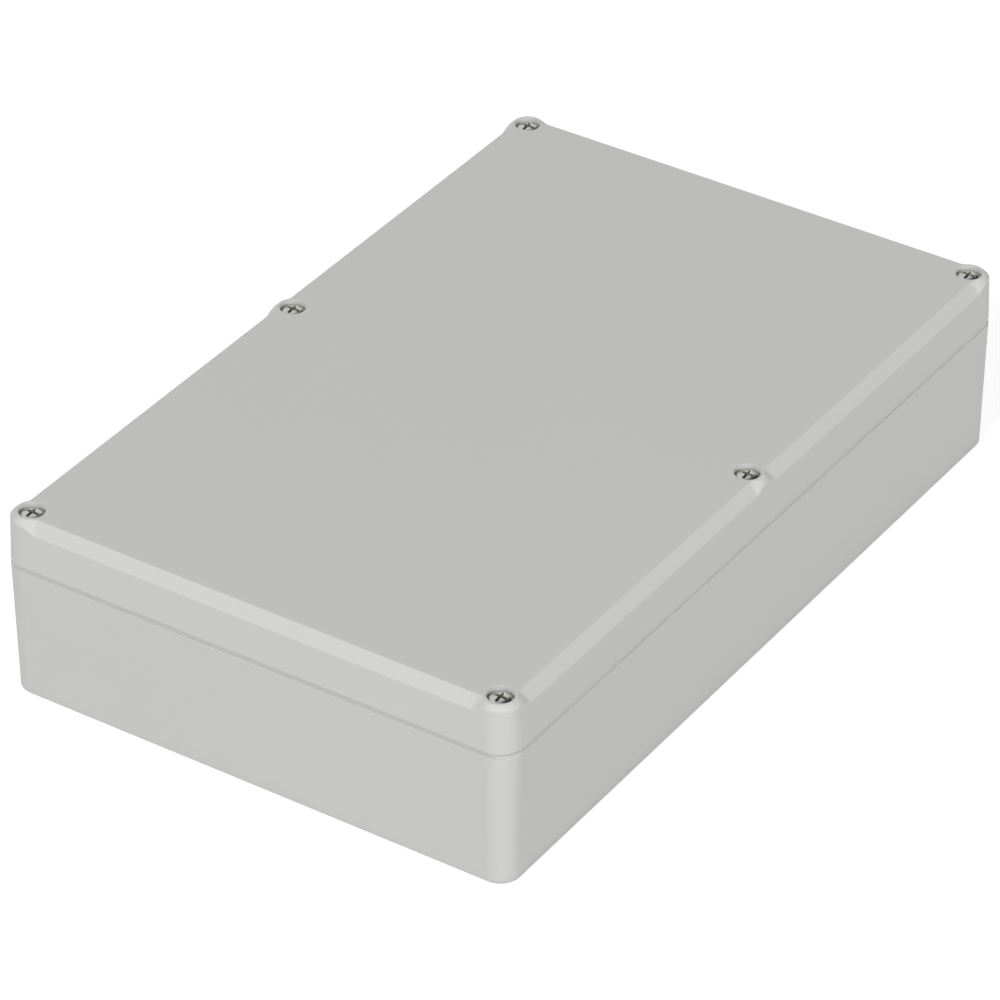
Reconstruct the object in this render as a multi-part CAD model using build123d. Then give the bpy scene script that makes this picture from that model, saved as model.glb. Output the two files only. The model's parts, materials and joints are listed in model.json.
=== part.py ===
from build123d import *
from math import radians, tan
import os

# A two-part moulded box: a deep base, a shallow lid held by six recessed screws,
# and a rubber seal in the joint between them.
# All sizes are in millimetres and degrees. The origin is the middle of the
# underside, the length runs along Y and the lid faces +Z.

# Outside of the closed box, measured at the parting line
box_length = 281.0
box_width = 180.0
box_height = 63.2
lid_height = 16.8
corner_radius = 7.5
lid_draft = 2.0
base_draft = 1.0
top_bevel = 3.4
crown_edge_radius = 0.6
valley_radius = 4.0
bottom_edge_radius = 0.8
base_rim_radius = 0.3
lid_rim_radius = 0.9

# Walls
wall = 3.5
floor_thickness = 3.0
lid_thickness = 3.0
cavity_draft = 1.0
inner_corner_radius = 3.0
floor_edge_radius = 1.5

# The shadow groove that runs round the box under the lid
shadow_height = 1.0
shadow_depth = 0.45

# The seal line: a tongue on the base enters a groove in the lid
tongue_setback = 0.4
tongue_width = 1.6
tongue_height = 3.0
tongue_clearance = 0.2
seal_thickness = 2.0
seal_clearance = 0.05
lid_rib_width = 1.4

# Lid screws: pan head machine screws, M4 by 20
screw_inset = 7.2
screw_diameter = 4.0
screw_length = 20.0
head_diameter = 8.0
head_height = 3.1
head_rim_height = 1.75
head_edge_radius = 0.5
head_sink = 3.3
screw_tip_bevel = 0.5
driver_slot_width = 1.2
driver_slot_depth = 1.1
driver_cross_span = 4.6
driver_cross_width = 1.1
driver_cross_depth = 1.9
driver_cross_taper = 12.0
counterbore_diameter = 8.3
counterbore_rim_bevel = 0.1
screw_hole_diameter = 4.5
crown_radius = 5.0

# Threaded inserts in the base
insert_diameter = 5.6
insert_length = 8.0
insert_flange_diameter = 7.0
insert_flange_thickness = 0.6
insert_groove_width = 1.2
insert_groove_depth = 0.35
thread_clearance = 0.06
screw_well_depth = 14.0
screw_well_diameter = 4.6

# Posts at the screws, and the wall fixing holes beside the corner screws
post_radius = 7.8
fixing_offset = 15.3
fixing_hole_diameter = 4.8
fixing_bore_diameter = 8.6
fixing_seat_height = 6.0
lid_core_depth = 9.0
lid_core_diameter = 7.0

# Bosses on the floor that carry a circuit board
boss_inset_x = 30.0
boss_inset_y = 35.5
half_board_pitch = 90.0
boss_height = 6.0
boss_top_radius = 3.5
boss_root_radius = 4.2
boss_hole_diameter = 2.9
boss_hole_depth = 7.0

# Heights and places that follow from the sizes above
parting_height = box_height - lid_height
head_seat_height = box_height - head_sink
ledge_height = parting_height - shadow_height
tongue_top = parting_height + tongue_height
ceiling_height = box_height - lid_thickness
half_width = box_width / 2
half_length = box_length / 2
screw_x = half_width - screw_inset
screw_y = half_length - screw_inset
fixing_x = screw_x
fixing_y = screw_y - fixing_offset
insert_top = parting_height
boss_x = half_width - boss_inset_x
boss_y = half_length - boss_inset_y

screw_places = {
    "front_left": (-screw_x, -screw_y),
    "front_right": (screw_x, -screw_y),
    "middle_left": (-screw_x, 0.0),
    "middle_right": (screw_x, 0.0),
    "back_left": (-screw_x, screw_y),
    "back_right": (screw_x, screw_y),
}
fixing_places = [(sx * fixing_x, sy * fixing_y) for sx in (-1, 1) for sy in (-1, 1)]
boss_rows = (-boss_y, -half_board_pitch / 2, half_board_pitch / 2, boss_y)
boss_places = [(sx * boss_x, y) for sx in (-1, 1) for y in boss_rows]


def cylinder_up(x, y, low, high, radius):
    """A round bar or bore standing on the plane z = low."""
    centre = Pos(x, y, (low + high) / 2)
    return centre * Cylinder(radius, high - low)


def outer_outline(inset=0.0):
    """The box's outline at the parting line, moved in by inset."""
    return RectangleRounded(box_width - 2 * inset, box_length - 2 * inset, corner_radius - inset)


def cavity_outline():
    """The inner wall's outline: it runs inboard of every screw and fixing post."""
    inner_x = half_width - wall
    inner_y = half_length - wall
    outline = Rectangle(2 * inner_x, 2 * inner_y)
    reach = 4 * post_radius
    low_x = screw_x - post_radius
    low_y = fixing_y - post_radius
    corner_post = RectangleRounded(2 * reach, 2 * reach, post_radius)
    side_post = SlotCenterToCenter(reach, 2 * post_radius)
    for sx in (-1, 1):
        outline -= Pos(sx * (screw_x + reach / 2), 0) * side_post
        for sy in (-1, 1):
            outline -= Pos(sx * (low_x + reach), sy * (low_y + reach)) * corner_post
    sharp = [
        v
        for v in outline.vertices()
        if abs(abs(v.X) - inner_x) < 0.01 or abs(abs(v.Y) - inner_y) < 0.01
    ]
    return fillet(sharp, inner_corner_radius)


def seal_ring(start, end):
    """A flat ring that follows the seal line, from start to end outside the cavity."""
    cavity = cavity_outline()
    return offset(cavity, end) - offset(cavity, start)


def raise_face(face, low, high, taper=0.0):
    """A face drawn on the ground plane, extruded from one height to another."""
    return extrude(Pos(0, 0, low) * face, amount=high - low, taper=taper)


def sink_face(face, top, bottom, taper=0.0):
    """A face extruded downwards from one height to another, narrowing by taper."""
    return extrude(Pos(0, 0, top) * face, amount=bottom - top, taper=taper)


def base_block():
    """The base before it is hollowed: a drafted block with the shadow groove's step on top."""
    block = sink_face(outer_outline(), ledge_height, 0.0, base_draft)
    block = fillet(block.faces().sort_by(Axis.Z)[-1].edges(), base_rim_radius)
    block = fillet(block.faces().sort_by(Axis.Z)[0].edges(), bottom_edge_radius)
    return block + raise_face(outer_outline(shadow_depth), ledge_height, parting_height)


def make_base():
    room = sink_face(cavity_outline(), parting_height, floor_thickness, cavity_draft)
    room = fillet(room.faces().sort_by(Axis.Z)[0].edges(), floor_edge_radius)
    tongue = seal_ring(tongue_setback, tongue_setback + tongue_width)
    bosses = [board_boss(x, y) for x, y in boss_places]
    body = base_block() - room
    body += [raise_face(tongue, parting_height, tongue_top)] + bosses
    holes = [insert_seat(x, y) for x, y in screw_places.values()]
    holes += [fixing_hole(x, y) for x, y in fixing_places]
    holes += [pilot_hole(x, y) for x, y in boss_places]
    return body - holes


def insert_seat(x, y):
    """The bore that holds one threaded insert, with room below for the screw's tip."""
    flange = insert_top - insert_flange_thickness
    low = insert_top - insert_length
    bottom = low - screw_well_depth
    seat = cylinder_up(x, y, flange, insert_top, insert_flange_diameter / 2)
    seat += cylinder_up(x, y, low, flange, insert_diameter / 2)
    return seat + cylinder_up(x, y, bottom, low, screw_well_diameter / 2)


def fixing_hole(x, y):
    """A hole through the floor for a wall screw, with a deep bore above for its head."""
    bore = cylinder_up(x, y, fixing_seat_height, parting_height, fixing_bore_diameter / 2)
    return bore + cylinder_up(x, y, 0.0, fixing_seat_height, fixing_hole_diameter / 2)


def board_boss(x, y):
    """A tapered post on the floor."""
    middle = floor_thickness + boss_height / 2
    return Pos(x, y, middle) * Cone(boss_root_radius, boss_top_radius, boss_height)


def pilot_hole(x, y):
    """The hole in a board boss for a self-tapping screw."""
    top = floor_thickness + boss_height
    return cylinder_up(x, y, top - boss_hole_depth, top, boss_hole_diameter / 2)


def lid_crown():
    """The bevelled top: one long frustum, and a round one about each screw.

    The long one's corners turn about the corner screws too, so the round ones hide them.
    """
    depth = 2 * top_bevel
    low = box_height - depth
    inset = tan(radians(lid_draft)) * (lid_height - top_bevel) + top_bevel
    top_face = RectangleRounded(box_width - 2 * inset, box_length - 2 * inset, screw_inset - inset)
    crown = sink_face(top_face, box_height, low, -45.0)
    cone = Cone(crown_radius + depth, crown_radius, depth)
    rounds = [Pos(x, y, low + depth / 2) * cone for x, y in screw_places.values()]
    skirt = Rectangle(box_width + wall, box_length + wall)
    return crown + rounds + [raise_face(skirt, parting_height, low)]


def rise(edge):
    """How far an edge climbs from one end to the other."""
    heights = [v.Z for v in edge.vertices()]
    return max(heights) - min(heights)


def lid_block():
    """The lid before it is hollowed, with every edge of its bevelled crown rounded.

    The valleys beside the round frustums are blended first, then the rims above and below.
    """
    block = raise_face(outer_outline(), parting_height, box_height, lid_draft) & lid_crown()
    climb = top_bevel - 0.1
    valleys = [e for e in block.edges() if climb < rise(e) < 2 * top_bevel]
    block = fillet(valleys, valley_radius)
    above = block.edges().filter_by_position(Axis.Z, parting_height + 0.1, box_height + 0.1)
    block = fillet([e for e in above if rise(e) < climb], crown_edge_radius)
    return fillet(block.faces().sort_by(Axis.Z)[0].edges(), lid_rim_radius)


def make_lid():
    body = lid_block()
    rib_inner = tongue_clearance - tongue_setback + lid_rib_width
    room = offset(cavity_outline(), -rib_inner)
    body -= raise_face(room, parting_height, ceiling_height, cavity_draft)
    groove = seal_ring(
        tongue_setback - tongue_clearance,
        tongue_setback + tongue_width + tongue_clearance,
    )
    body -= raise_face(groove, parting_height, tongue_top + seal_thickness)
    core_top = parting_height + lid_core_depth
    holes = [screw_hole(x, y) for x, y in screw_places.values()]
    holes += [
        cylinder_up(x, y, parting_height, core_top, lid_core_diameter / 2) for x, y in fixing_places
    ]
    return body - holes


def screw_hole(x, y):
    """The stepped hole for one lid screw: a clearance hole and the head's recess."""
    rim = counterbore_rim_bevel
    radius = counterbore_diameter / 2
    hole = cylinder_up(x, y, parting_height, head_seat_height, screw_hole_diameter / 2)
    hole += cylinder_up(x, y, head_seat_height, box_height, radius)
    return hole + Pos(x, y, box_height - rim / 2) * Cone(radius, radius + rim, rim)


def make_gasket():
    start = tongue_setback - tongue_clearance + seal_clearance
    end = tongue_setback + tongue_width + tongue_clearance - seal_clearance
    return raise_face(seal_ring(start, end), tongue_top, tongue_top + seal_thickness)


def screw_head():
    """A pan head: a short straight side, a rounded edge and a low dome."""
    crown = (0, head_height)
    rim = (head_diameter / 2, head_rim_height)
    sides = Polyline(crown, (0, 0), (head_diameter / 2, 0), rim)
    profile = make_face(sides + TangentArc(crown, rim, tangent=(1, 0)))
    edge = profile.vertices().group_by(Axis.X)[-1].sort_by(Axis.Y)[-1]
    return revolve(Plane.XZ * fillet(edge, head_edge_radius), Axis.Z)


def make_screw():
    """One lid screw, standing on the origin by the underside of its head."""
    shank = cylinder_up(0, 0, -screw_length, 0, screw_diameter / 2)
    shank = chamfer(shank.edges().sort_by(Axis.Z)[0], screw_tip_bevel)
    return screw_head() + shank - driver_recess()


def driver_recess():
    """A straight slot across the head with a tapered cross recess in its middle."""
    top = head_height
    slot = Pos(0, 0, top - driver_slot_depth / 2) * Box(
        driver_slot_width, 2 * head_diameter, driver_slot_depth
    )
    cross = Rectangle(driver_cross_span, driver_cross_width)
    cross += Rectangle(driver_cross_width, driver_cross_span)
    wings = extrude(Pos(0, 0, top) * cross, amount=-driver_cross_depth, taper=driver_cross_taper)
    return slot + wings


def make_insert():
    """One brass insert, standing with its top face on the origin."""
    bore = screw_diameter / 2 + thread_clearance
    body = cylinder_up(0, 0, -insert_length, 0, insert_diameter / 2)
    body += cylinder_up(0, 0, -insert_flange_thickness, 0, insert_flange_diameter / 2)
    middle = -insert_length / 2
    ring = cylinder_up(
        0, 0, middle - insert_groove_width / 2, middle + insert_groove_width / 2, insert_diameter
    )
    ring -= cylinder_up(
        0,
        0,
        middle - insert_groove_width,
        middle + insert_groove_width,
        insert_diameter / 2 - insert_groove_depth,
    )
    body -= ring
    return body - cylinder_up(0, 0, -insert_length, 0, bore)


def write(name, shape):
    export_step(shape, "parts/" + name + ".step")


os.makedirs("parts", exist_ok=True)
write("base", make_base())
write("lid", make_lid())
write("gasket", make_gasket())
screw = make_screw()
insert = make_insert()
for place, (x, y) in screw_places.items():
    write("lid_screw_" + place, Pos(x, y, head_seat_height) * screw)
    write("insert_" + place, Pos(x, y, insert_top) * insert)
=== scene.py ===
import json
from math import atan2, cos, pi, radians, sin, sqrt

import bpy
from mathutils import Matrix, Vector


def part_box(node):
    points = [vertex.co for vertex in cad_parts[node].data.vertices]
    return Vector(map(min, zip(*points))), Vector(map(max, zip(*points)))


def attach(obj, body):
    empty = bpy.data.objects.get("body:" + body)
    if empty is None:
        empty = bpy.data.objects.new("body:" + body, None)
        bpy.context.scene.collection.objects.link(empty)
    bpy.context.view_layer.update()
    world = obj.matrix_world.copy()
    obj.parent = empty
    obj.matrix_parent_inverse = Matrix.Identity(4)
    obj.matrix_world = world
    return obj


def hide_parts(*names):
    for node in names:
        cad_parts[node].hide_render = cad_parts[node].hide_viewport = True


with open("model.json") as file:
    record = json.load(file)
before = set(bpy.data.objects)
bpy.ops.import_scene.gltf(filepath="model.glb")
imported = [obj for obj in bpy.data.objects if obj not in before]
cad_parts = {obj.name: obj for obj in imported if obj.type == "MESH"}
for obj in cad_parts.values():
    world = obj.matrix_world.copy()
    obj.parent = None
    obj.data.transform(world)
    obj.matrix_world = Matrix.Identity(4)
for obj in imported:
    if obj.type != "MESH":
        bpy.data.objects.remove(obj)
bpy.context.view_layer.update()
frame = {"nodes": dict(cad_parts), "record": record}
print("frame loaded:", len(frame["nodes"]), "nodes")

# Sizes in the dictionaries are in mm unless they are given times mm
mm = 0.001
weld = mm * 0.001  # vertices closer than this become one
creaseAngle = radians(32)  # sharper edges than this stay sharp

screwPlaces = [
    "front_left", "front_right", "middle_left", "middle_right", "back_left", "back_right",
]


# Shader maths: a socket that adds its Math nodes when it is used in an expression
class Field:
    def __init__(self, nodes, socket):
        self.nodes = nodes
        self.socket = socket

    def apply(self, operation, a, b):
        return self.nodes.add("ShaderNodeMath", {"operation": operation}, {0: a, 1: b})

    def __add__(self, other): return self.apply("ADD", self, other)
    def __radd__(self, other): return self.apply("ADD", other, self)
    def __sub__(self, other): return self.apply("SUBTRACT", self, other)
    def __rsub__(self, other): return self.apply("SUBTRACT", other, self)
    def __mul__(self, other): return self.apply("MULTIPLY", self, other)
    def __rmul__(self, other): return self.apply("MULTIPLY", other, self)
    def __truediv__(self, other): return self.apply("DIVIDE", self, other)
    def __rtruediv__(self, other): return self.apply("DIVIDE", other, self)
    def least(self, other): return self.apply("MINIMUM", self, other)
    def most(self, other): return self.apply("MAXIMUM", self, other)
    def held(self): return self.most(0).least(1)  # kept between 0 and 1


# A node tree, with one method that adds any node to it
class Nodes:
    def __init__(self, tree):
        self.tree = tree

    def feed(self, slot, value):
        if isinstance(value, Field):
            self.tree.links.new(value.socket, slot)
        else:
            slot.default_value = value

    def add(self, kind, settings=None, inputs=None, out=0):
        node = self.tree.nodes.new(kind)
        for key, value in (settings or {}).items():
            setattr(node, key, value)
        for key, value in (inputs or {}).items():
            self.feed(node.inputs[key], value)
        return Field(self, node.outputs[out])


# One material and its node tree
class Finish(Nodes):
    def __init__(self, name):
        self.material = bpy.data.materials.new(name)
        self.material.use_nodes = True
        super().__init__(self.material.node_tree)
        self.shader = self.tree.nodes["Principled BSDF"]
        self.surface = self.tree.nodes["Material Output"].inputs["Surface"]

    def place(self):
        return self.add("ShaderNodeTexCoord", out="Object")

    def noise(self, coords, scale, detail=2.0, rough=0.5):
        inputs = {"Vector": coords, "Scale": scale, "Detail": detail, "Roughness": rough}
        return self.add("ShaderNodeTexNoise", {}, inputs)

    def mixColor(self, factor, a, b):
        return self.add("ShaderNodeMix", {"data_type": "RGBA"}, {0: factor, 6: a, 7: b}, out=2)

    def bump(self, height, strength, distance):
        inputs = {"Strength": strength, "Distance": distance, "Height": height}
        return self.add("ShaderNodeBump", {}, inputs)

    def set(self, **values):
        names = {
            "color": "Base Color", "rough": "Roughness", "metal": "Metallic",
            "normal": "Normal", "specular": "Specular IOR Level",
        }
        for key, value in values.items():
            self.feed(self.shader.inputs[names[key]], value)
        return self.material


def grey(level, yellow=0.0):  # a screen grey from 0 to 255, as a linear colour
    c = level / 255
    c = c / 12.92 if c <= 0.04045 else ((c + 0.055) / 1.055) ** 2.4
    return (c, c, c * (1 - yellow), 1)


# Box plastic: satin grey with a fine spark-eroded grain. On the two short sides, beyond endFace,
# the shadow line gets painted shade, a little darker, and the lid's rim above it painted light, a
# little paler.
plastic = {
    "tone": 197, "yellow": 0.022, "drift": 1.0, "cloud": 9.0,
    "rough": 0.55, "roughSpread": 0.04, "specular": 0.25,
    "grain": 2600.0, "grainBump": 0.35, "grainDepth": 0.012 * mm,
    # the shadow line's tone is painted shade and the rim's tone is painted light, between these
    # heights
    "seamPaintedShade": 188, "seamLow": 45.2, "seamHigh": 46.45,
    "rimPaintedLight": 212, "rimHigh": 47.25, "seamSoft": 0.1, "endFace": 139.0,
}


def boxPlastic():
    f = Finish("boxPlastic")
    coords = f.place()
    cloud = f.noise(coords, plastic["cloud"], detail=3.0)
    grain = f.noise(coords, plastic["grain"], detail=3.0, rough=0.6)
    low, high = [
        grey(plastic["tone"] + side * plastic["drift"], plastic["yellow"]) for side in (-1, 1)
    ]
    height, along = [
        f.add("ShaderNodeSeparateXYZ", {}, {"Vector": coords}, out=axis) / mm for axis in "ZY"
    ]
    ends = (along.most(-1 * along) - plastic["endFace"]).held()
    color = f.mixColor(cloud, low, high)
    # Painted shade on the shadow line and painted light on the lid's rim above it, on the short
    # sides only
    paintedBands = (("seamPaintedShade", "seamLow", "seamHigh"), ("rimPaintedLight", "seamHigh", "rimHigh"))
    for tone, foot, head in paintedBands:
        above = ((height - plastic[foot]) / plastic["seamSoft"]).held()
        below = ((plastic[head] - height) / plastic["seamSoft"]).held()
        color = f.mixColor(above * below * ends, color, grey(plastic[tone], plastic["yellow"]))
    spread = plastic["roughSpread"]
    return f.set(
        color=color,
        rough=plastic["rough"] - spread + grain * (2 * spread),
        specular=plastic["specular"],
        normal=f.bump(grain, plastic["grainBump"], plastic["grainDepth"]),
    )


# Lid screw: M4 pan head with a cross recess, standing on the underside of its head at z = 0
screw = {
    "seat": 59.9,  # height of that underside on the box
    "headRadius": 3.88, "rimHeight": 2.0, "headHeight": 2.75, "edgeRound": 1.2, "footEdge": 0.12,
    "segments": 72, "edgeSteps": 6, "domeSteps": 10, "edgeBreak": 0.05,
    "length": 20.0, "root": 0.4, "pitch": 0.7, "major": 1.98, "minor": 1.56, "crest": 0.12,
    "neck": 1.7, "neckLength": 1.0, "neckSlope": 0.6, "tip": 1.45, "tipSlope": 0.9,
    "threadSteps": 36,
    "crossSpan": 5.8, "crossWidth": 1.1, "crossDepth": 1.9, "crossRound": 0.16,
    "footSpan": 0.5, "footWidth": 0.6,  # shares that are left at the foot of the cross
    "pit": 2.3, "pitTop": 0.95, "pitFoot": 0.25, "pitSides": 24,
    "proud": 0.2,  # how far the cutters stand above the crown
}

# Lid screws: stainless steel, with painted shade that makes them darker in the recess and down
# the side of the head
steel = {
    "tone": 200, "stain": 20, "yellow": 0.035, "stainYellow": 1.5,
    "rough": 0.15, "stainRough": 0.14, "cloud": 420.0,
    "fine": 9000.0, "fineBump": 0.15, "fineDepth": 0.01 * mm,
    # the recess tones are painted shade, a little darker towards the foot of the recess
    "recessTop": 170, "recessFoot": 165, "recessYellow": 0.13, "recessRough": 0.3,
    "recessDepth": 1.9,
}


def screwSteel():
    f = Finish("screwSteel")
    coords = f.place()
    stain = f.noise(coords, steel["cloud"], detail=4.0, rough=0.6)
    fine = f.noise(coords, steel["fine"])
    height = f.add("ShaderNodeSeparateXYZ", {}, {"Vector": coords}, out="Z")
    crown = (screw["seat"] + screw["headHeight"]) * mm
    # Painted shade: faces marked in the cut attribute take the darker recess colour, a little
    # darker deeper down
    deep = ((crown - height) / (steel["recessDepth"] * mm)).held()
    cut = f.add("ShaderNodeAttribute", {"attribute_name": "cut"}, out="Fac")
    bright = grey(steel["tone"], steel["yellow"])
    dull = grey(steel["tone"] - steel["stain"], steel["yellow"] * steel["stainYellow"])
    recessTop, recessFoot = [
        grey(steel[end], steel["recessYellow"]) for end in ("recessTop", "recessFoot")
    ]
    outside = f.mixColor(stain, bright, dull)
    inside = f.mixColor(deep, recessTop, recessFoot)
    return f.set(
        color=f.mixColor(cut, outside, inside),
        metal=1.0,
        rough=steel["rough"] + stain * steel["stainRough"] + cut * steel["recessRough"],
        normal=f.bump(fine, steel["fineBump"], steel["fineDepth"]),
    )


# Gasket: matt black moulded rubber with a little dust
rubber = {
    "low": 38, "high": 58, "dust": 400.0, "rough": 0.62, "dustRough": 0.2,
    "skin": 3500.0, "skinBump": 0.3, "skinDepth": 0.02 * mm,
}


def sealRubber():
    f = Finish("sealRubber")
    coords = f.place()
    dust = f.noise(coords, rubber["dust"], detail=4.0, rough=0.65)
    skin = f.noise(coords, rubber["skin"])
    return f.set(
        color=f.mixColor(dust, grey(rubber["low"]), grey(rubber["high"])),
        rough=rubber["rough"] + dust * rubber["dustRough"],
        normal=f.bump(skin, rubber["skinBump"], rubber["skinDepth"]),
    )


# Inserts: plain turned brass, tarnished in patches
brass = {
    "bright": (0.62, 0.42, 0.16, 1), "dull": (0.42, 0.27, 0.10, 1), "stain": 700.0,
    "rough": 0.3, "stainRough": 0.2, "stainBump": 0.2, "stainDepth": 0.02 * mm,
}


def insertBrass():
    f = Finish("insertBrass")
    coords = f.place()
    stain = f.noise(coords, brass["stain"], detail=4.0, rough=0.6)
    return f.set(
        color=f.mixColor(stain, brass["bright"], brass["dull"]),
        metal=1.0,
        rough=brass["rough"] + stain * brass["stainRough"],
        normal=f.bump(stain, brass["stainBump"], brass["stainDepth"]),
    )


finishes = {
    "box_plastic": boxPlastic(),
    "screw_steel": screwSteel(),
    "seal_rubber": sealRubber(),
    "insert_brass": insertBrass(),
}
slotOf = {part["node"]: part["material_slot"] for part in frame["record"]["subparts"]}
for name, node in frame["nodes"].items():
    node.data.materials.clear()
    node.data.materials.append(finishes[slotOf[name]])
print("finishes set")


def start():  # object mode with nothing selected
    if bpy.context.object and bpy.context.object.mode != "OBJECT":
        bpy.ops.object.mode_set(mode="OBJECT")
    bpy.ops.object.select_all(action="DESELECT")


def focus(piece):
    start()
    piece.select_set(True)
    bpy.context.view_layer.objects.active = piece


# Out of edit mode, with close vertices made one and all faces turned outward
def closeUp(gap):
    bpy.ops.mesh.select_all(action="SELECT")
    bpy.ops.mesh.remove_doubles(threshold=gap)
    bpy.ops.mesh.normals_make_consistent(inside=False)
    bpy.ops.object.mode_set(mode="OBJECT")


# A row of edges in the XZ plane through points of (x, z)
def polyline(points):
    start()
    bpy.ops.mesh.primitive_plane_add(size=1)
    line = bpy.context.object
    bpy.ops.object.mode_set(mode="EDIT")
    bpy.ops.mesh.select_mode(type="VERT")
    bpy.ops.mesh.select_all(action="SELECT")
    bpy.ops.mesh.merge(type="CENTER")
    bpy.ops.object.mode_set(mode="OBJECT")
    line.data.vertices[0].co = (points[0][0] * mm, 0, points[0][1] * mm)
    line.data.vertices[0].select = True
    bpy.ops.object.mode_set(mode="EDIT")
    for (x0, z0), (x1, z1) in zip(points, points[1:]):
        step = ((x1 - x0) * mm, 0, (z1 - z0) * mm)
        bpy.ops.mesh.extrude_region_move(TRANSFORM_OT_translate={"value": step})
    bpy.ops.object.mode_set(mode="OBJECT")
    return line


# A solid turned about Z from a profile whose two ends lie on the axis
def turned(points, segments):
    piece = polyline(points)
    bpy.ops.object.mode_set(mode="EDIT")
    bpy.ops.mesh.select_all(action="SELECT")
    bpy.ops.mesh.spin(steps=segments, angle=2 * pi, center=(0, 0, 0), axis=(0, 0, 1))
    closeUp(weld)
    return piece


def box(size, middle):
    start()
    bpy.ops.mesh.primitive_cube_add(size=1)
    block = bpy.context.object
    block.data.transform(Matrix.Diagonal((*[v * mm for v in size], 1)))
    block.data.transform(Matrix.Translation([v * mm for v in middle]))
    return block


# A cone on the Z axis, by the radii of its foot and its top
def cone(foot, top, depth, middle, sides):
    start()
    bpy.ops.mesh.primitive_cone_add(
        vertices=sides, radius1=foot * mm, radius2=top * mm, depth=depth * mm,
        location=(0, 0, middle * mm),
    )
    bpy.ops.object.transform_apply(location=True, rotation=True, scale=True)
    return bpy.context.object


def modify(piece, kind, **settings):
    focus(piece)
    mod = piece.modifiers.new(kind.lower(), kind)
    for key, value in settings.items():
        setattr(mod, key, value)
    bpy.ops.object.modifier_apply(modifier=mod.name)


def combine(piece, other, operation):
    modify(piece, "BOOLEAN", operation=operation, object=other, solver="EXACT")
    bpy.data.objects.remove(other, do_unlink=True)


# A threaded bar between two heights; profile is one pitch of it as (radius, z)
def helix(profile, pitch, low, high, steps):
    turns = int((high - low) / pitch) + 3  # enough to pass both ends, where it is cut off
    bar = polyline([(r, z + low - pitch) for r, z in profile])
    modify(
        bar, "SCREW", angle=2 * pi, screw_offset=pitch * mm, iterations=turns,
        steps=steps, render_steps=steps, use_merge_vertices=False,
    )
    bpy.ops.object.mode_set(mode="EDIT")
    closeUp(2 * weld)
    bpy.ops.object.mode_set(mode="EDIT")
    for height, above in ((high, True), (low, False)):
        bpy.ops.mesh.select_all(action="SELECT")
        bpy.ops.mesh.bisect(
            plane_co=(0, 0, height * mm), plane_no=(0, 0, 1), use_fill=True,
            clear_outer=above, clear_inner=not above, threshold=1e-7,
        )
    closeUp(weld)
    return bar


# Draws a vertex towards the Z axis, to a share of its radius
def drawIn(vertex, share):
    vertex.co.x *= share
    vertex.co.y *= share


# The end of each fine piece: clean, smooth but for its creases, and in its one finish
def complete(piece, slot):
    focus(piece)
    bpy.ops.object.mode_set(mode="EDIT")
    closeUp(weld / 2)
    bpy.ops.object.shade_smooth_by_angle(angle=creaseAngle)
    piece.data.materials.clear()
    piece.data.materials.append(finishes[slot])


def middleOf(node):
    low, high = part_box(node)
    return ((low[0] + high[0]) / 2, (low[1] + high[1]) / 2)


# A copy with its own mesh, moved within that mesh
def placeCopy(piece, name, offset):
    copy = piece.copy()
    copy.data = piece.data.copy()
    copy.name = copy.data.name = name
    bpy.context.collection.objects.link(copy)
    copy.data.transform(Matrix.Translation(offset))
    return copy


# Copies at the six screw places, each standing for its own CAD piece. A body whose name ends in
# an underscore is one for each place.
def placeSix(master, name, height, body, nodes):
    for place in screwPlaces:
        node = nodes + place
        x, y = middleOf(node)
        piece = placeCopy(master, name + place, (x, y, height * mm))
        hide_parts(node)
        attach(piece, body + place if body.endswith("_") else body)
    print(name + "...:", len(master.data.polygons), "faces each")
    bpy.data.objects.remove(master, do_unlink=True)


def domeRadius():
    r, rise = screw["headRadius"], screw["headHeight"] - screw["rimHeight"]
    return (r * r + rise * rise) / (2 * rise)


# Half of the head's outline: underside, straight side, rounded edge and dome
def domeProfile():
    r, soft, foot = screw["headRadius"], screw["edgeRound"], screw["footEdge"]
    edgeSteps, domeSteps = screw["edgeSteps"], screw["domeSteps"]
    dome = domeRadius()
    hub = screw["headHeight"] - dome
    points = [(0, 0), (r - foot, 0), (r, foot)]
    # the edge's arc touches the side and the dome
    x = r - soft
    z = hub + sqrt((dome - soft) ** 2 - x * x)
    lean = atan2(z - hub, x)
    for k in range(edgeSteps + 1):
        a = lean * k / edgeSteps
        points.append((x + soft * cos(a), z + soft * sin(a)))
    for k in range(1, domeSteps + 1):
        a = lean + (pi / 2 - lean) * k / domeSteps
        points.append((dome * cos(a) if k < domeSteps else 0, hub + dome * sin(a)))
    return points


# One bar of the cross: narrower and shorter at its foot
def crossWing(turn):
    top = screw["headHeight"] + screw["proud"]
    deep = screw["crossDepth"] + screw["proud"]
    wing = box((screw["crossSpan"], screw["crossWidth"], deep), (0, 0, top - deep / 2))
    for corner in wing.data.vertices:
        if corner.co.z < (top - deep / 2) * mm:
            corner.co.x *= screw["footSpan"]
            corner.co.y *= screw["footWidth"]
    modify(
        wing, "BEVEL", width=screw["crossRound"] * mm, segments=3, limit_method="ANGLE",
        angle_limit=radians(30),
    )
    wing.data.transform(Matrix.Rotation(turn, 4, "Z"))
    return wing


# The pointed well in the middle of the cross
def pit():
    middle = screw["headHeight"] + screw["proud"] - screw["pit"] / 2
    return cone(screw["pitFoot"], screw["pitTop"], screw["pit"], middle, screw["pitSides"])


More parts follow.
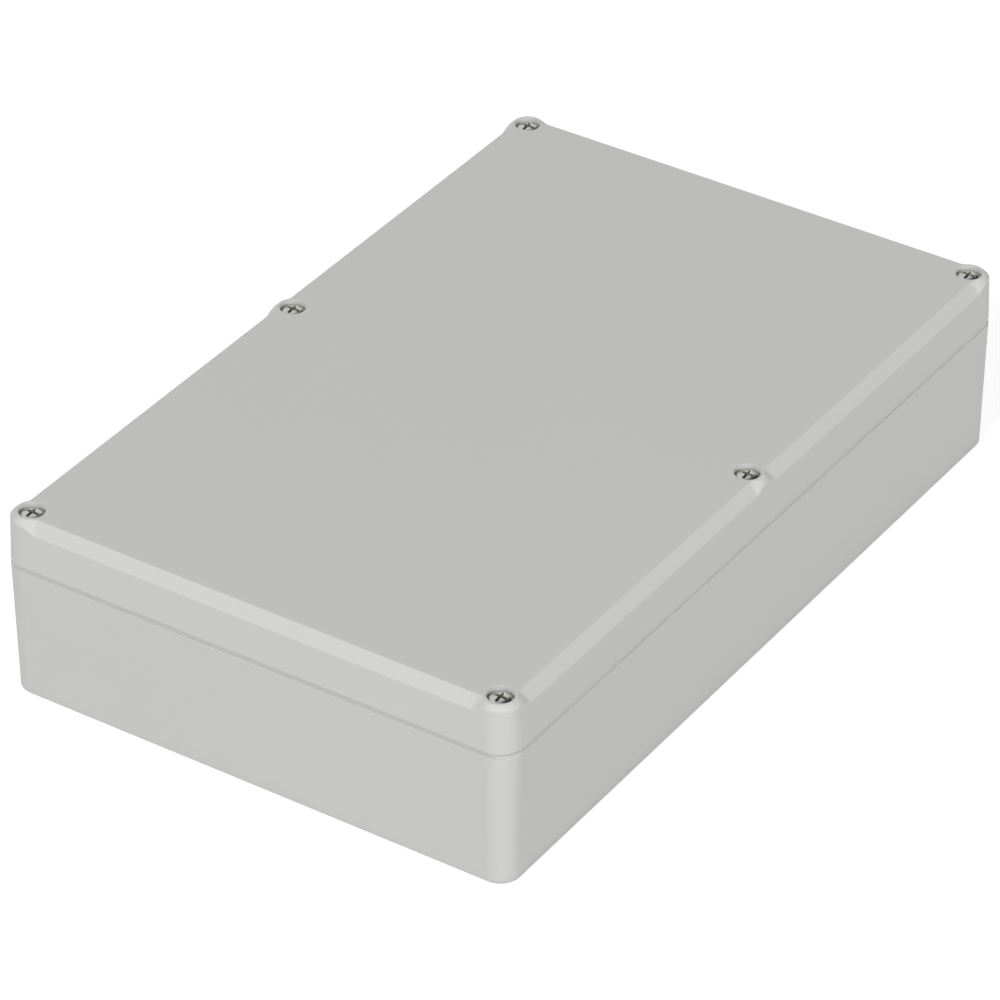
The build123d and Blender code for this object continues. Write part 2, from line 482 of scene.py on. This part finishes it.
# The threaded shank, drawn in to a neck under the head and to a blunt tip
def screwShank():
    s = screw
    crest = s["pitch"] * s["crest"]
    flank = (s["pitch"] - 2 * crest) / 2
    profile = [
        (s["minor"], 0), (s["minor"], crest), (s["major"], crest + flank),
        (s["major"], 2 * crest + flank), (s["minor"], s["pitch"]),
    ]
    bar = helix(profile, s["pitch"], -s["length"], s["root"], s["threadSteps"])
    for v in bar.data.vertices:
        r, z = sqrt(v.co.x ** 2 + v.co.y ** 2) / mm, v.co.z / mm
        lead = s["tip"] + (z + s["length"]) * s["tipSlope"]
        runOut = s["neck"] + max(0, -s["neckLength"] - z) * s["neckSlope"]
        most = min(lead, runOut)
        if r > most:
            drawIn(v, most / r)
    return bar


# How strongly a face takes the recess's painted shade, and how far a face may be from the cross
# and must be under the dome to count as one of its faces
shadeMarks = {
    "recess": 1.0, "shank": 0.2, "side": 0.1, "sideFrom": 0.7,
    "beside": 0.03, "beyond": 0.1, "under": 0.06,
}


# Writes each face's strength of painted shade: full in the recess, less on the shank and down the
# side of the head
def markPaintedShade(piece):
    r, top, dome = screw["headRadius"], screw["headHeight"], domeRadius()
    sideTop = screw["rimHeight"] - shadeMarks["sideFrom"] * screw["edgeRound"]
    marks = piece.data.attributes.new("cut", "FLOAT", "FACE")
    for face, mark in zip(piece.data.polygons, marks.data):
        x, y, z = face.center / mm
        reach = sqrt(x * x + y * y)
        surface = top - dome + sqrt(dome * dome - min(reach, r) ** 2)
        inWing = min(abs(x), abs(y)) < screw["crossWidth"] / 2 + shadeMarks["beside"]
        byCross = inWing and reach < screw["crossSpan"] / 2 + shadeMarks["beyond"]
        if byCross and surface - z > shadeMarks["under"]:
            mark.value = shadeMarks["recess"] if z > 0 else shadeMarks["shank"]
        elif z < sideTop:
            mark.value = shadeMarks["side"]


def makeScrew():
    head = turned(domeProfile(), screw["segments"])
    for cutter in (crossWing(0), crossWing(pi / 2), pit()):
        combine(head, cutter, "DIFFERENCE")
    modify(
        head, "BEVEL", width=screw["edgeBreak"] * mm, segments=2, limit_method="ANGLE",
        angle_limit=radians(40), use_clamp_overlap=True,
    )
    combine(head, screwShank(), "UNION")
    complete(head, "screw_steel")
    markPaintedShade(head)
    return head


placeSix(makeScrew(), "screw_", screw["seat"], "screw_", "lid_screw_")


# Brass insert: a flanged, knurled bush with a real thread in its bore, its top face at z = 0
insert = {
    "top": 46.4,  # height of that face on the box
    "length": 8.0, "radius": 2.8, "flangeRadius": 3.5, "flange": 0.6, "corner": 0.12,
    "grooveRadius": 2.45, "grooveLow": -4.6, "grooveHigh": -3.4,
    "teeth": 36, "toothDepth": 0.13, "near": 0.01,
    "boreRadius": 2.06, "threadRadius": 2.36, "threadSteps": 36,
    "flankFoot": 0.15, "flankTop": 0.5, "crestEnd": 0.62,  # shares of the pitch
    "mouth": 2.42, "mouthSides": 48,
    "spare": 0.5, "proud": 0.2,  # how far the two cutters pass the ends
}


# Every second column of the bush's points is drawn in, where it lies on the outer radius
def knurl(bush):
    s = insert
    for v in bush.data.vertices:
        reach = sqrt(v.co.x ** 2 + v.co.y ** 2) / mm
        turn = round(atan2(v.co.y, v.co.x) / pi * s["teeth"])
        if abs(reach - s["radius"]) < s["near"] and turn % 2:
            drawIn(v, 1 - s["toothDepth"] / reach)


def makeInsert():
    s = insert
    c, low, pitch = s["corner"], -s["length"], screw["pitch"]
    outline = [
        (0, low), (s["radius"] - 2 * c, low), (s["radius"], low + 2 * c),
        (s["radius"], s["grooveLow"]), (s["grooveRadius"], s["grooveLow"] + c),
        (s["grooveRadius"], s["grooveHigh"] - c), (s["radius"], s["grooveHigh"]),
        (s["radius"], -s["flange"] - c), (s["flangeRadius"] - c / 2, -s["flange"]),
        (s["flangeRadius"], -s["flange"] + c / 2), (s["flangeRadius"], -c / 2),
        (s["flangeRadius"] - c / 2, 0), (0, 0),
    ]
    bush = turned(outline, 2 * s["teeth"])
    knurl(bush)
    groove = [
        (s["boreRadius"], 0), (s["boreRadius"], pitch * s["flankFoot"]),
        (s["threadRadius"], pitch * s["flankTop"]), (s["threadRadius"], pitch * s["crestEnd"]),
        (s["boreRadius"], pitch),
    ]
    thread = helix(groove, pitch, low - s["spare"], s["spare"], s["threadSteps"])
    combine(bush, thread, "DIFFERENCE")
    depth = s["mouth"] - s["boreRadius"] + s["proud"]
    middle = 2 * s["proud"] - depth
    mouth = cone(s["boreRadius"], s["mouth"] + s["proud"], 2 * depth, middle, s["mouthSides"])
    combine(bush, mouth, "DIFFERENCE")
    complete(bush, "insert_brass")
    return bush


placeSix(makeInsert(), "threaded_insert_", insert["top"], "base", "insert_")


# Camera: the photograph's viewing point, with its long lens
view = {
    "eye": (0.78021, -1.18815, 1.00016), "azimuth": 33.478, "elevation": 34.5443,
    "roll": 0.018, "lens": 201.294, "sensor": 36.0, "clip": (0.05, 50),
}


# The direction from the box to a place, by its angle round from the front and its height
def towards(azimuth, elevation):
    a, e = radians(azimuth), radians(elevation)
    return Vector((sin(a) * cos(e), -cos(a) * cos(e), sin(e)))


def addCamera():
    data = bpy.data.cameras.new("camera")
    data.lens = view["lens"]
    data.sensor_width = view["sensor"]
    data.clip_start, data.clip_end = view["clip"]
    camera = bpy.data.objects.new("camera", data)
    bpy.context.collection.objects.link(camera)
    back = towards(view["azimuth"], view["elevation"])
    turn = (-back).to_track_quat("-Z", "Y").to_matrix().to_4x4()
    roll = Matrix.Rotation(radians(-view["roll"]), 4, "Z")
    camera.matrix_world = Matrix.Translation(view["eye"]) @ turn @ roll
    bpy.context.scene.camera = camera


# Light: an even pale room and two soft lamps, one in front and a lower one at the right. A third
# lamp, close to the floor, lights only the two sides that the camera doesn't see.
# Mirrored rays see the room white at the left, dark at the right and dim close to straight above:
# overhead and dark give the directions, as parts of 1, between which that changes.
light = {
    "room": 0.38, "overhead": 0.3, "overheadFrom": 0.84, "overheadTo": 0.99,
    "darkFrom": -0.24, "darkTo": -0.16, "distance": 9.0,
    "lamps": {  # azimuth, elevation, level, size in metres
        "front": (0.0, 34.6, 0.644, 3.4),
        "right": (85.0, 20.0, 0.437, 3.4),
        "back": (-135.0, 3.0, 0.45, 0.7),
    },
}


# 1 for the rays that show the background: straight, mirrored and through glass
def showing(nodes):
    straight, mirrored, through = [
        nodes.add("ShaderNodeLightPath", out="Is " + kind + " Ray")
        for kind in ("Camera", "Glossy", "Transmission")
    ]
    return straight.most(mirrored).most(through)


# A value moved from one range to another, held at both ends
def ranged(nodes, value, old, new):
    bounds = dict(zip(("From Min", "From Max", "To Min", "To Max"), old + new))
    return nodes.add("ShaderNodeMapRange", {}, {"Value": value, **bounds}, out="Result")


def addRoom():
    world = bpy.data.worlds.new("room")
    bpy.context.scene.world = world
    world.use_nodes = True
    nodes = Nodes(world.node_tree)
    room = world.node_tree.nodes["Background"]
    room.inputs["Color"].default_value = (1, 1, 1, 1)
    place = nodes.add("ShaderNodeTexCoord", out="Generated")
    up, right = [
        nodes.add("ShaderNodeSeparateXYZ", {}, {0: place}, out=axis) for axis in "ZX"
    ]
    overhead = (light["overheadFrom"], light["overheadTo"])
    above = ranged(nodes, up, overhead, (1.0, light["overhead"]))
    aside = ranged(nodes, right, (light["darkFrom"], light["darkTo"]), (1.0, 0.0))
    mirrored = nodes.add("ShaderNodeLightPath", out="Is Glossy Ray")
    seen = ranged(nodes, mirrored, (0.0, 1.0), (1.0, above * aside))
    strength = ranged(nodes, showing(nodes), (0.0, 1.0), (light["room"], seen))
    nodes.feed(room.inputs["Strength"], strength)


def addLamps():
    for name, (azimuth, elevation, level, size) in light["lamps"].items():
        side = towards(azimuth, elevation)
        data = bpy.data.lights.new(name, "AREA")
        data.shape = "DISK"
        data.size = size
        data.energy = level * (pi * light["distance"]) ** 2
        lamp = bpy.data.objects.new(name, data)
        bpy.context.collection.objects.link(lamp)
        lamp.location = side * light["distance"]
        lamp.rotation_mode = "QUATERNION"
        lamp.rotation_quaternion = side.to_track_quat("Z", "Y")
        lamp.visible_glossy = name != "back"


# Floor: a white sheet just under the box that keeps its soft shadow. It is clear from below, and
# to light that leaves the box's underside, so that the underside can be looked at.
floor = {
    "size": 12.0, "height": -0.2 * mm,  # the size in metres
    "tone": 190, "rough": 0.9, "lift": 0.68,
    "touch": 3 * mm, "sharp": 1e6,  # the reach of that light, and how sharply it ends
}


def addFloor():
    start()
    bpy.ops.mesh.primitive_plane_add(size=floor["size"], location=(0, 0, floor["height"]))
    plane = bpy.context.object
    plane.name = "floor"
    f = Finish("floorWhite")
    f.set(color=grey(floor["tone"]), rough=floor["rough"], specular=0.0)
    strength = showing(f) * floor["lift"]
    glow = f.add("ShaderNodeEmission", {}, {"Color": (1, 1, 1, 1), "Strength": strength})
    sheet = f.add("ShaderNodeAddShader", {}, {0: Field(f, f.shader.outputs[0]), 1: glow})
    clear = f.add("ShaderNodeBsdfTransparent")
    behind = f.add("ShaderNodeNewGeometry", out="Backfacing")
    reach = f.add("ShaderNodeLightPath", out="Ray Length")
    near = ((floor["touch"] - reach) * floor["sharp"]).held()
    mixed = f.add("ShaderNodeMixShader", {}, {0: behind.most(near), 1: sheet, 2: clear})
    f.feed(f.surface, mixed)
    plane.data.materials.append(f.material)


addCamera()
addRoom()
addLamps()
addFloor()
bpy.context.scene.view_settings.view_transform = "Standard"
print("camera, light and floor set")
